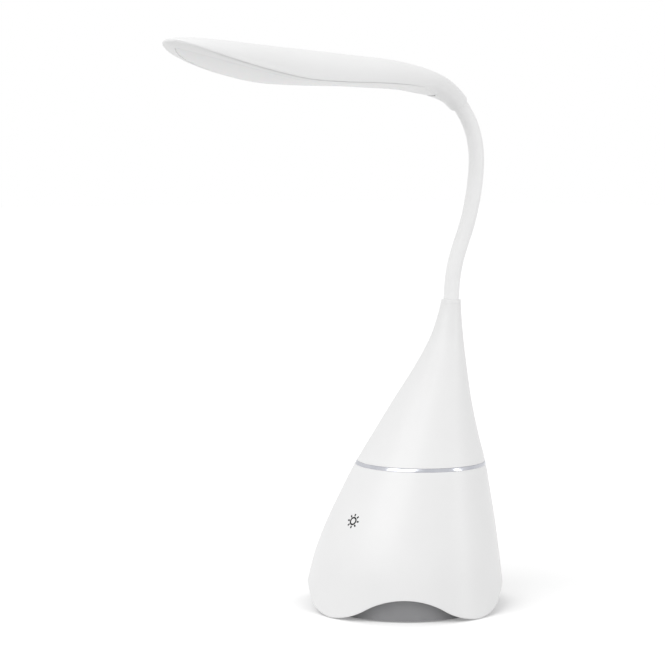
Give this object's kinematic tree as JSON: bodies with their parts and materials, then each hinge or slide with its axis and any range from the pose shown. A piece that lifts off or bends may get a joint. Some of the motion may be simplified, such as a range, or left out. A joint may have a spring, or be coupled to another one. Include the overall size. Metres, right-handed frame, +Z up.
{
  "type": "desk lamp",
  "caption": "Rechargeable desk lamp: a leaf shaped LED head on a bendable neck over a leaning cone base with arched feet and a touch key.",
  "frame": {"origin": "middle of the base's anti-slip ring, on the table", "axes": "+Z up, -X towards the tip of the lamp's head, +Y to the left for someone who faces the lamp's front"},
  "size_m": [0.2699, 0.1358, 0.3666],
  "materials": {
    "satin_white_shell": "satin moulded",
    "chrome_trim": "polished",
    "white_soft_sleeve": "soft matte",
    "black_sign": "printed",
    "grey_cover": "moulded",
    "grey_rubber": "soft",
    "opal_panel": "opal diffuser",
    "steel": "zinc plated",
    "cast_weight": "cast",
    "board_green": "solder resist",
    "chip_black": "moulded",
    "cell_wrap": "shrink sleeve",
    "wire_insulation": "extruded",
    "led_board_white": "solder resist",
    "led_phosphor": "silicone dome",
    "sensor_copper": "tinned foil"
  },
  "bodies": {
    "base": {"lower_shell": "satin_white_shell", "touch_sign": "black_sign", "trim_ring": "chrome_trim", "upper_cone": "satin_white_shell", "neck_collar": "satin_white_shell", "gooseneck_anchor": "steel", "anchor_nut": "steel", "bottom_cover": "grey_cover", "anti_slip_pad": "grey_rubber", "cover_screws": "steel", "weight_screws": "steel", "cone_screws": "steel", "counterweight": "cast_weight", "battery_cell": "cell_wrap", "battery_cradle": "chip_black", "board_standoffs": "steel", "main_board": "board_green", "board_chips": "chip_black", "board_screws": "steel", "charging_port": "steel", "port_board": "board_green", "touch_sensor": "sensor_copper", "lamp_lead": "wire_insulation", "battery_lead": "wire_insulation", "key_lead": "wire_insulation", "port_lead": "wire_insulation", "neck_sleeve_0": "white_soft_sleeve", "neck_core_0": "steel", "neck_lead_0": "wire_insulation"},
    "neck_1": {"neck_sleeve_1": "white_soft_sleeve", "neck_core_1": "steel", "neck_lead_1": "wire_insulation"},
    "neck_2": {"neck_sleeve_2": "white_soft_sleeve", "neck_core_2": "steel", "neck_lead_2": "wire_insulation"},
    "neck_3": {"neck_sleeve_3": "white_soft_sleeve", "neck_core_3": "steel", "neck_lead_3": "wire_insulation"},
    "neck_4": {"neck_sleeve_4": "white_soft_sleeve", "neck_core_4": "steel", "neck_lead_4": "wire_insulation"},
    "head": {"neck_sleeve_5": "white_soft_sleeve", "neck_core_5": "steel", "neck_lead_5": "wire_insulation", "head_shell": "satin_white_shell", "head_bezel": "satin_white_shell", "light_panel": "opal_panel", "led_strip": "led_board_white", "led_chips": "led_phosphor", "strip_screws": "steel", "head_socket": "steel", "head_lead": "wire_insulation"}
  },
  "joints": [
    {"name": "neck_bend_1_fore_aft", "type": "hinge", "parent": "base", "child": "neck_1", "pos_m": [0.04471, 0, 0.2134], "axis": [0, 1, 0], "range_deg": [-25, 25]},
    {"name": "neck_bend_2_sideways", "type": "hinge", "parent": "neck_1", "child": "neck_2", "pos_m": [0.05337, 0, 0.24002], "axis": [0.9078, 0, -0.4195], "range_deg": [-25, 25]},
    {"name": "neck_bend_3_fore_aft", "type": "hinge", "parent": "neck_2", "child": "neck_3", "pos_m": [0.06357, 0, 0.26619], "axis": [0, 1, 0], "range_deg": [-25, 25]},
    {"name": "neck_bend_4_sideways", "type": "hinge", "parent": "neck_3", "child": "neck_4", "pos_m": [0.06787, 0, 0.29393], "axis": [0.9998, 0, -0.0205], "range_deg": [-25, 25]},
    {"name": "neck_bend_5_fore_aft", "type": "hinge", "parent": "neck_4", "child": "head", "pos_m": [0.06067, 0, 0.32073], "axis": [0, 1, 0], "range_deg": [-25, 25]}
  ]
}
